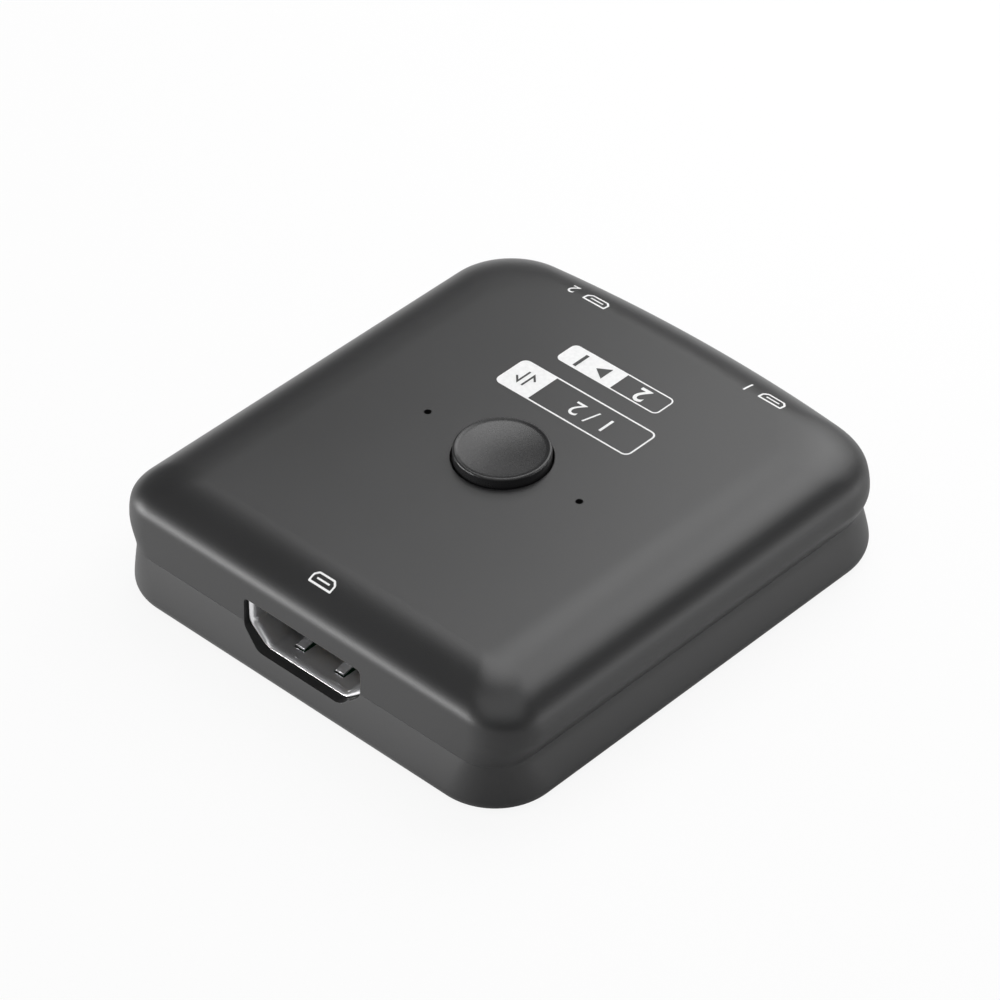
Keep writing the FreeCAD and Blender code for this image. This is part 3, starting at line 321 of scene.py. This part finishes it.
def make_top_cover():
    """The crowned top and the upper half of the waisted wall, with the button's well and the two pinholes."""
    below_waist, hollow_angle = 1.1, 15
    levels = [flank(1 - i / FLANK_STEPS) for i in range(FLANK_STEPS)]
    levels += [crown(angle) for angle in range(0, 91, CROWN_ANGLE)]
    hollow = [flank(below_waist, WALL), flank(1, WALL)]
    hollow += [crown(angle, WALL) for angle in range(0, 91, hollow_angle)]
    cover = lofted("top_shell", levels)
    cutters = [lofted("top_hollow", hollow)]
    cutters.append(well("button_well", 0, BUTTON_Y, BUTTON_RADIUS + BUTTON_GAP, TURN_STEPS))
    for side in (-1, 1):
        cutters.append(well(f"pinhole_{side}", side * PINHOLE_X, PINHOLE_Y, PINHOLE_RADIUS, TURN_STEPS // 4))
    cut(cover, cutters + port_cutters(), COVER_EDGE)
    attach(cover, "housing")
    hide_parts("top_cover")
    return cover


def make_bottom_cover():
    """The flared skirt with its rounded foot."""
    levels = [foot(angle) for angle in range(90, -1, -FOOT_ANGLE)]
    levels += [skirt((i + 1) / SKIRT_STEPS) for i in range(SKIRT_STEPS)]
    hollow = [skirt(0, WALL + FLOOR_BEVEL, FLOOR), skirt(0, WALL, FLOOR + FLOOR_BEVEL)]
    hollow += [skirt(1, WALL), skirt(1, WALL, WAIST + 1)]
    cover = lofted("bottom_shell", levels)
    cut(cover, [lofted("bottom_hollow", hollow)] + port_cutters(), COVER_EDGE)
    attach(cover, "housing")
    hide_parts("bottom_cover")
    return cover


def make_port_lip(name, x, mouth, side):
    """The rolled edge of a socket's shell: a quarter round that turns outwards in front of its mouth."""
    lip_side, lip_height, lip_reach, overlap = 0.5, 0.19, 0.7, 0.02
    bend, bend_growth = 0.4, 0.2
    front = [(1 - math.cos(turn), math.sin(turn)) for turn in (math.radians(15 * i) for i in range(7))]
    back = [(1.06, 0.9), (1.06, 0.5), (0.6, -0.1)]
    work = bmesh.new()
    loops = []
    for spread, reach in front + back:
        outline = port_outline(x, lip_side * spread - overlap, lip_height * spread - overlap)
        y = side * (mouth + lip_reach * reach)
        corners = [(across, y, up) for across, up in outline]
        loops.append(closed_loop(work, rounded(corners, bend + bend_growth * spread)))
    for first, second in zip(loops, loops[1:] + loops[:1]):
        bmesh.ops.bridge_loops(work, edges=first + second)
    bmesh.ops.recalc_face_normals(work, faces=work.faces)
    lip = finished(name, work, LIP_EDGE)
    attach(lip, "housing")
    return lip


def make_button():
    """The cap, turned from its profile: stem, flange, skirt, soft edge, thin raised rim and shallow dish."""
    stem_radius, stem_end = 1.8, 8.32
    roof_under, inner_radius = 12.93, 3.8
    flange_radius, flange_under, flange_top = 5.6, 10.4, 11.8
    edge, rim, rim_step, dish = 0.22, 0.3, 0.06, 0.4
    edge_steps, dish_steps = 6, 12
    dish_radius, dish_floor = BUTTON_RADIUS - rim, BUTTON_TOP - rim_step - dish
    profile = [(0, stem_end), (stem_radius, stem_end), (stem_radius, roof_under), (inner_radius, roof_under)]
    profile += [(inner_radius, flange_under), (flange_radius, flange_under), (flange_radius, flange_top)]
    profile += [(BUTTON_RADIUS, flange_top), (BUTTON_RADIUS, BUTTON_TOP - edge)]
    for i in range(1, edge_steps + 1):
        turn = math.pi / 2 * i / edge_steps
        across = BUTTON_RADIUS - edge * (1 - math.cos(turn))
        profile.append((across, BUTTON_TOP - edge * (1 - math.sin(turn))))
    profile += [(dish_radius + 0.03, BUTTON_TOP), (dish_radius - 0.02, BUTTON_TOP - rim_step)]
    for i in range(dish_steps - 1, -1, -1):
        share = i / dish_steps
        profile.append((dish_radius * share, dish_floor + dish * share**2))
    work = bmesh.new()
    points = [work.verts.new((x, 0, z)) for x, z in profile]
    edges = [work.edges.new(pair) for pair in zip(points, points[1:])]
    bmesh.ops.spin(
        work, geom=points + edges, cent=(0, 0, 0), axis=(0, 0, 1), angle=2 * math.pi, steps=TURN_STEPS,
        use_merge=True,
    )
    bmesh.ops.remove_doubles(work, verts=work.verts, dist=0.0005)
    bmesh.ops.recalc_face_normals(work, faces=work.faces)
    bmesh.ops.translate(work, vec=(0, BUTTON_Y, 0), verts=work.verts)
    cap = finished("button_top", work, BUTTON_EDGE)
    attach(cap, "button")
    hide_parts("button_cap")
    return cap


# Printing

INK_LIFT, INK_THICKNESS, SECOND_INK = 0.004, 0.012, 0.014
ABOVE = 30.0
SIGN_BAND, DIGIT_SIZE, PORT_DIGIT_SIZE, PORT_DIGIT_STEP, BOLD = 0.5, 2.9, 2.1, 3.1, 0.05
FRONT_SIGN_Y, BACK_SIGN_Y, BACK_SIGN_X = 25.2, -23.3, {2: 9.9, 1: -13.1}
CHOICE_Y, BADGE_Y, POINTER_HALF = -9.31, -15.17, 0.93
CHOICE = {
    "left": -8.7, "split": 4.5, "right": 8.7, "low": -11.59, "high": -7.03, "line": 0.18, "corner": 0.75,
}
BADGE = {
    "left": -6.47, "split": -0.2, "right": 6.7, "low": -16.67, "high": -13.67, "line": 0.16, "corner": 0.65,
}


def flat_print(name, work, surface, band=0.0, base=0.0):
    """Lays a flat drawing on the cover, or on ink of some height, and gives it the thickness of ink.

    A band's width cuts the drawing into bands that follow the cover where it curves.
    """
    ys = [vertex.co.y for vertex in work.verts]
    y = min(ys) + band
    while band and y < max(ys):
        everything = list(work.verts) + list(work.edges) + list(work.faces)
        bmesh.ops.bisect_plane(work, geom=everything, plane_co=(0, y, 0), plane_no=(0, 1, 0))
        y += band
    for vertex in work.verts:
        start = Vector((vertex.co.x * MM, vertex.co.y * MM, ABOVE * MM))
        hit = surface.ray_cast(start, Vector((0, 0, -1)))[0]
        vertex.co.z = hit.z / MM + INK_LIFT + base
    bmesh.ops.recalc_face_normals(work, faces=work.faces)
    if sum(face.normal.z for face in work.faces) < 0:
        bmesh.ops.reverse_faces(work, faces=work.faces)
    bmesh.ops.solidify(work, geom=list(work.faces), thickness=-INK_THICKNESS)
    bmesh.ops.recalc_face_normals(work, faces=work.faces)
    piece = finished(name, work, PRINT_EDGE)
    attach(piece, "housing")
    return piece


def drawing(shapes):
    """A flat drawing from shapes of one outline, which is filled, or of two, which are a frame."""
    work = bmesh.new()
    for outlines in shapes:
        loops = [closed_loop(work, points) for points in outlines]
        if len(loops) == 1:
            bmesh.ops.contextual_create(work, geom=loops[0])
        else:
            bmesh.ops.bridge_loops(work, edges=loops[0] + loops[1])
    return work


def flat(points):
    """Points in X and Y as points in space."""
    return [(x, y, 0) for x, y in points]


def plate(x0, x1, y0, y1, low_end=0.0, high_end=0.0):
    """A rectangle's outline, with the corners at its low or high X end rounded."""
    corners = [(x1, y0, high_end, 270), (x1, y1, high_end, 0), (x0, y1, low_end, 90), (x0, y0, low_end, 180)]
    points = []
    for x, y, radius, start in corners:
        if not radius:
            points.append((x, y))
            continue
        centre_x = x - radius if x == x1 else x + radius
        centre_y = y - radius if y == y1 else y + radius
        for i in range(ROUND_STEPS + 1):
            turn = math.radians(start + 90 * i / ROUND_STEPS)
            points.append((centre_x + radius * math.cos(turn), centre_y + radius * math.sin(turn)))
    return flat(points)


def label(left, split, right, low, high, line, corner):
    """A framed label: an open frame up to its split, and a filled part beyond."""
    divider, inner_corner = 0.2, corner - 0.15
    outer = plate(left, split, low, high, low_end=corner)
    inner = plate(left + line, split - divider, low + line, high - line, low_end=inner_corner)
    return drawing([[outer, inner], [plate(split, right, low, high, high_end=corner)]])


def arrow(x, tail, tip, side):
    """A thin arrow along Y with half a head, on one side."""
    stroke, head = 0.22, 0.85
    mitre, slant = 2.414 * stroke, 0.707 * stroke
    way = 1 if tip > tail else -1
    shape = [(0, tail), (stroke, tail), (stroke, tip - way * mitre)]
    shape += [(head - slant, tip - way * (head + slant)), (head, tip - way * head), (0, tip)]
    return flat([(x + side * across, along) for across, along in shape])


def port_sign(x, y):
    """The outline of a small socket round its tongue, 2.9 by 1.3 mm."""
    outer = flat(socket_outline(x, 1.45, 1.0, y - 0.65, y - 0.2, y + 0.65))
    inner = flat(socket_outline(x, 1.25, 0.9, y - 0.45, y - 0.1, y + 0.45))
    tongue = flat([(x - 0.8, y - 0.08), (x + 0.8, y - 0.08), (x + 0.8, y + 0.1), (x - 0.8, y + 0.1)])
    return drawing([[rounded(outer, 0.12), rounded(inner, 0.08)], [tongue]])


def digits(text, size, x, y, weight=0.0):
    """Digits as a flat mesh, centred on a place."""
    curve = bpy.data.curves.new("digits", "FONT")
    curve.body = text
    curve.size = size
    curve.offset = weight
    curve.align_x = "CENTER"
    curve.align_y = "CENTER"
    holder = bpy.data.objects.new("digits", curve)
    bpy.context.scene.collection.objects.link(holder)
    bpy.context.view_layer.update()
    mesh = bpy.data.meshes.new_from_object(holder.evaluated_get(bpy.context.evaluated_depsgraph_get()))
    bpy.data.objects.remove(holder)
    work = bmesh.new()
    work.from_mesh(mesh)
    bmesh.ops.remove_doubles(work, verts=work.verts, dist=0.001)
    bmesh.ops.translate(work, vec=(x, y, 0), verts=work.verts)
    return work


def joined(first, second):
    """Two drawings in one bmesh."""
    mesh = bpy.data.meshes.new("part")
    second.to_mesh(mesh)
    second.free()
    first.from_mesh(mesh)
    return first


def make_prints(cover):
    """White signs at the sockets, two white labels, and the dark signs on the labels' filled ends."""
    surface = BVHTree.FromObject(cover, bpy.context.evaluated_depsgraph_get())
    white = [flat_print("sign_output", port_sign(0, FRONT_SIGN_Y), surface, SIGN_BAND)]
    for number, x in BACK_SIGN_X.items():
        digit = digits(str(number), PORT_DIGIT_SIZE, x + PORT_DIGIT_STEP, BACK_SIGN_Y)
        sign = joined(port_sign(x, BACK_SIGN_Y), digit)
        white.append(flat_print(f"sign_input_{number}", sign, surface, SIGN_BAND))
    choice = joined(label(**CHOICE), digits("1 / 2", DIGIT_SIZE, -2.2, CHOICE_Y))
    white.append(flat_print("choice_frame", choice, surface))
    badge = joined(label(**BADGE), digits("2", DIGIT_SIZE, -3.4, BADGE_Y, BOLD))
    white.append(flat_print("number_badge", badge, surface))
    arrows = [[arrow(6.75, -10.35, -8.2, 1)], [arrow(6.25, -8.25, -10.4, -1)]]
    pointer = flat([(1.2, BADGE_Y - POINTER_HALF), (2.6, BADGE_Y), (1.2, BADGE_Y + POINTER_HALF)])
    dark = joined(drawing(arrows + [[pointer]]), digits("1", DIGIT_SIZE, 4.5, BADGE_Y, BOLD))
    return white, flat_print("dark_signs", dark, surface, base=SECOND_INK)


# Materials

class Value:
    """A socket that can stand in Python expressions."""

    def __init__(self, nodes, socket):
        self.nodes, self.socket = nodes, socket

    def math(self, operation, *others):
        return self.nodes.add("Math", {"operation": operation}, self, *others)

    def __add__(self, other):
        return self.math("ADD", other)

    __radd__ = __add__

    def __mul__(self, other):
        return self.math("MULTIPLY", other)

    __rmul__ = __mul__

    def __sub__(self, other):
        return self.math("SUBTRACT", other)

    def __rsub__(self, other):
        return self.nodes.add("Math", {"operation": "SUBTRACT"}, other, self)


class Nodes:
    """The node tree of a material or a world, emptied, and the nodes that expressions add to it."""

    def __init__(self, owner):
        owner.use_nodes = True
        self.tree = owner.node_tree
        self.tree.nodes.clear()

    def add(self, kind, settings, *values, out=0, **named):
        node = self.tree.nodes.new(f"ShaderNode{kind}")
        for key, value in settings.items():
            if key == "stops":
                for stop, (place, colour) in zip(node.color_ramp.elements, value):
                    stop.position, stop.color = place, colour
            else:
                setattr(node, key, value)
        pairs = list(enumerate(values)) + [(key.replace("_", " "), value) for key, value in named.items()]
        for key, value in pairs:
            if isinstance(value, Value):
                self.tree.links.new(value.socket, node.inputs[key])
            else:
                node.inputs[key].default_value = value
        return Value(self, node.outputs[out]) if node.outputs else node


def two_tones(nodes, pattern, dark, light):
    """A colour that a pattern moves between two tones."""
    return nodes.add("ValToRGB", {"stops": [(0.3, (*dark, 1)), (0.7, (*light, 1))]}, pattern)


def paint(name, colour, roughness, metallic=0.0, grain=9000.0, grain_depth=0.02, patch=0.04, specular=0.5,
          edge=0.12, wall_roughness=0.0):
    """A finish with slow patches of tone, a fine grain and softened edges, and walls duller than the top."""
    material = bpy.data.materials.new(name)
    f = Nodes(material)
    place = f.add("TexCoord", {}, out="Object")
    slow = f.add("TexNoise", {}, Vector=place, Scale=60.0, Detail=3.0, Roughness=0.5)
    fine = f.add("TexNoise", {}, Vector=place, Scale=grain, Detail=2.0, Roughness=0.6)
    dark = [part * (1 - patch * 3) for part in colour]
    light = [min(1.0, part * (1 + patch * 3)) for part in colour]
    tone = two_tones(f, slow, dark, light)
    rough = roughness + (slow - 0.5) * (patch * 1.5) + (fine - 0.5) * 0.08
    if wall_roughness:
        height = f.add("SeparateXYZ", {}, place, out="Z")
        wall = f.add("MapRange", {}, height, (SHOULDER + 1.6) * MM, (SHOULDER + 3.4) * MM, 1.0, 0.0)
        rough = rough + wall * wall_roughness
    soft = f.add("Bevel", {"samples": 4}, Radius=edge * MM)
    bump = f.add("Bump", {}, Strength=0.35, Distance=grain_depth * MM, Height=fine, Normal=soft)
    shader = f.add("BsdfPrincipled", {}, Base_Color=tone, Roughness=rough, Metallic=metallic, Normal=bump,
                   Specular_IOR_Level=specular)
    f.add("OutputMaterial", {}, shader)
    return material


def ink(name, low, high):
    """A matt grey ink between two tones."""
    material = bpy.data.materials.new(name)
    f = Nodes(material)
    place = f.add("TexCoord", {}, out="Object")
    noise = f.add("TexNoise", {}, Vector=place, Scale=2500.0, Detail=2.0)
    tone = two_tones(f, noise, [low] * 3, [high] * 3)
    shader = f.add("BsdfPrincipled", {}, Base_Color=tone, Roughness=0.5 + (noise - 0.5) * 0.1)
    f.add("OutputMaterial", {}, shader)
    return material


def give(piece, material):
    """Takes a piece's materials away and gives it one."""
    piece.data.materials.clear()
    piece.data.materials.append(material)


# The room

def make_floor():
    """A pale floor that keeps the shadow and is white to the camera and in reflections.

    It is dark in reflections on a spot before the front corner and on a strip along the -X wall. This is
    painted
    shade: it stands in for the object's shadow on the floor near it.
    """
    # Painted shade: the spot and the strip darken the floor's glow in reflections, where the object's shadow
    # lies near it.
    painted_shade_spot = (-34 * MM, 26 * MM, 0)
    paper_floor = bpy.data.materials.new("paper_floor")
    f = Nodes(paper_floor)
    seen = f.add("LightPath", {}, out="Is Camera Ray")
    glossy = f.add("LightPath", {}, out="Is Glossy Ray")
    place = f.add("TexCoord", {}, out="Object")
    away = f.add("VectorMath", {"operation": "DISTANCE"}, place, painted_shade_spot, out="Value")
    outside_painted_shade_spot = f.add("MapRange", {}, away, 9 * MM, 24 * MM, 0.0, 1.0)
    across = f.add("SeparateXYZ", {}, place, out="X")
    painted_shade_strip_out = f.add("MapRange", {}, across, -36 * MM, -30 * MM, 0.0, 0.85)
    painted_shade_strip_in = f.add("MapRange", {}, across, -26 * MM, -22 * MM, 1.0, 0.0)
    # The glossy share carries the painted shade: darker reflections of the floor near the front corner and
    # along the -X wall.
    share = seen * 0.9 + glossy * outside_painted_shade_spot * (1 - painted_shade_strip_out * painted_shade_strip_in)
    paper = f.add("BsdfDiffuse", {}, Color=(0.8, 0.8, 0.8, 1))
    glow = f.add("Emission", {}, Color=(1, 1, 1, 1), Strength=1.0)
    f.add("OutputMaterial", {}, f.add("MixShader", {}, share, paper, glow))
    work = bmesh.new()
    bmesh.ops.create_grid(work, x_segments=1, y_segments=1, size=1500)
    floor = finished("floor", work)
    give(floor, paper_floor)


def make_world():
    """A dim room that is white to the camera."""
    studio = bpy.data.worlds.new("studio")
    bpy.context.scene.world = studio
    f = Nodes(studio)
    seen = f.add("LightPath", {}, out="Is Camera Ray")
    dim = f.add("Background", {}, (1, 1, 1, 1), 0.2)
    white = f.add("Background", {}, (1, 1, 1, 1), 1.0)
    f.add("OutputWorld", {}, f.add("MixShader", {}, seen, dim, white))


def direction(turn, rise):
    """Towards an angle round the object, from the back at 0, and an angle up, both in degrees."""
    turn, rise = math.radians(turn), math.radians(rise)
    return Vector((math.cos(rise) * math.sin(turn), -math.cos(rise) * math.cos(turn), math.sin(rise)))


def make_lamp(name, turn, rise, away, size, power):
    """A soft lamp aimed at the object, with its distance and size in metres and its power in watts."""
    light = bpy.data.lights.new(name, "AREA")
    light.shape = "RECTANGLE"
    light.size, light.size_y = size
    light.energy = power
    lamp = bpy.data.objects.new(name, light)
    lamp.location = direction(turn, rise) * away
    aim = Vector((0, 0, 5 * MM)) - lamp.location
    lamp.rotation_euler = aim.to_track_quat("-Z", "Y").to_euler()
    bpy.context.scene.collection.objects.link(lamp)


def make_lamps():
    """Two long strips low down, three large cards and five small cards near the object."""
    make_lamp("left_strip", 137, 3, 0.85, (0.8, 0.1), 7.5)
    make_lamp("right_strip", 310, 3, 0.85, (0.8, 0.06), 1.8)
    make_lamp("high_card", 43, 65, 0.85, (0.4, 0.4), 1.45)
    make_lamp("low_card", 43, 28, 0.85, (0.3, 0.2), 0.12)
    make_lamp("front_card", 223, 68, 1.2, (1.6, 1.0), 5.5)
    near_cards = [(338, 56, 0.25, 0.11), (20, 40, 0.25, 0.085), (350, 40, 0.25, 0.075), (5, 25, 0.25, 0.06),
                  (43, 55, 0.3, 0.05)]
    for turn, rise, away, power in near_cards:
        make_lamp(f"near_card_{turn}", turn, rise, away, (0.12, 0.12), power)


def make_camera():
    """The photograph's view, with a long lens."""
    turn, tilt, away = 223.18, 39.62, 476.25
    aim, shift_right, shift_up = Vector((0, 1.03, 13.48)), -0.19, -4.135
    back = direction(turn, tilt)
    right = Vector((math.cos(math.radians(turn)), math.sin(math.radians(turn)), 0))
    up = back.cross(right)
    place = aim + back * away + right * shift_right + up * shift_up
    data = bpy.data.cameras.new("view")
    data.lens, data.sensor_width = 179.9, 36.0
    data.clip_start, data.clip_end = 0.01, 20
    camera = bpy.data.objects.new("view", data)
    camera.matrix_world = Matrix.Translation(place * MM) @ Matrix((right, up, back)).transposed().to_4x4()
    bpy.context.scene.collection.objects.link(camera)
    bpy.context.scene.camera = camera


make_camera()
top = make_top_cover()
bottom = make_bottom_cover()
button = make_button()
lips = [make_port_lip(f"lip_{name}", *port) for name, port in PORTS.items()]
white_prints, dark_print = make_prints(top)

satin_black = paint("satin_black", (0.013, 0.013, 0.0135), 0.34, specular=0.56, wall_roughness=0.16)
button_black = paint("button_black", (0.013, 0.013, 0.0135), 0.28)
nickel = paint("nickel", (0.74, 0.74, 0.75), 0.3, metallic=0.85, grain=5000, grain_depth=0.002, patch=0.02,
               edge=0.08)
gold_plate = paint("gold_plate", (0.83, 0.62, 0.27), 0.22, metallic=1.0, edge=0.03)
moulded_black = paint("moulded_black", (0.012, 0.012, 0.013), 0.45, edge=0.05)
board_green = paint("board_green", (0.01, 0.07, 0.03), 0.3)
bright_steel = paint("bright_steel", (0.6, 0.6, 0.61), 0.3, metallic=1.0, edge=0.05)
tin = paint("tin", (0.7, 0.7, 0.7), 0.35, metallic=1.0, edge=0.03)
ceramic = paint("ceramic", (0.4, 0.28, 0.18), 0.5, edge=0.03)
lamp_resin = paint("lamp_resin", (0.8, 0.8, 0.74), 0.2, edge=0.03)
white_ink = ink("white_ink", 0.78, 0.85)
dark_ink = ink("dark_ink", 0.03, 0.04)

made_pieces = [
    (satin_black, [top, bottom]),
    (button_black, [button]),
    (nickel, lips),
    (white_ink, white_prints),
    (dark_ink, [dark_print]),
]
cad_pieces = [
    (nickel, [f"port_shell_{name}" for name in PORTS]),
    (gold_plate, [f"port_contacts_{name}" for name in PORTS]),
    (moulded_black, [f"port_insulator_{name}" for name in PORTS]),
    (moulded_black, ["switch_base", "switch_plunger", "switch_chip", "regulator"]),
    (moulded_black, ["resistors", "surge_arrays"]),
    (board_green, ["circuit_board"]),
    (bright_steel, ["board_screws", "switch_plate", "switch_dome", "switch_terminals"]),
    (tin, ["switch_chip_pads", "regulator_leads"]),
    (ceramic, ["capacitors"]),
    (lamp_resin, ["led_1", "led_2"]),
]
for material, pieces in made_pieces:
    for piece in pieces:
        give(piece, material)
for material, nodes in cad_pieces:
    for node in nodes:
        give(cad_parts[node], material)

make_floor()
make_world()
make_lamps()
bpy.context.scene.view_settings.view_transform = "Standard"
